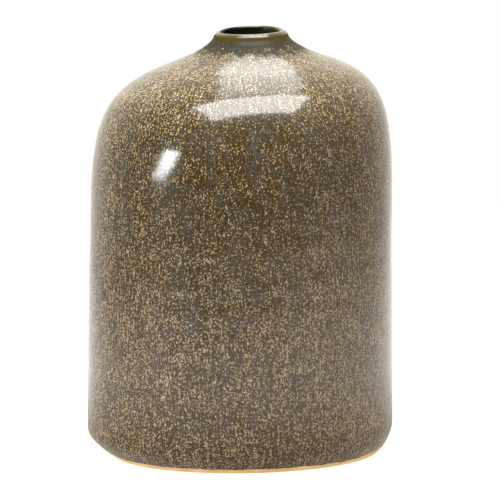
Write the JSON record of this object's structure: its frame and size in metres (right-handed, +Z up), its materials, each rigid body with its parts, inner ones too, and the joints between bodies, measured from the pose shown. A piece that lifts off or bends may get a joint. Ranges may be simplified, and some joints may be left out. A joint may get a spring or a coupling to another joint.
{
  "type": "bud vase",
  "caption": "Broad glazed ceramic bud vase: upright wall, domed shoulder, small off-centre collar with a narrow round mouth, bare clay foot.",
  "frame": {"origin": "centre of the foot ring, on the surface the vase stands on", "axes": "+Z up along the wall's axis; +X towards the side where the dome rises and the collar sits"},
  "size_m": [0.1444, 0.1444, 0.2],
  "materials": {
    "bare_clay": "matte, fired, unglazed",
    "clay_body": "matte, fired, under glaze",
    "speckled_glaze": "gloss, crystal speckle",
    "lip_glaze": "gloss",
    "liner_glaze": "gloss"
  },
  "bodies": {
    "root": {"foot_ring": "bare_clay", "base_slab": "bare_clay", "body_wall": "clay_body", "shoulder": "clay_body", "neck": "clay_body", "outer_glaze": "speckled_glaze", "lip_glaze": "lip_glaze", "liner_glaze": "liner_glaze"}
  },
  "joints": []
}
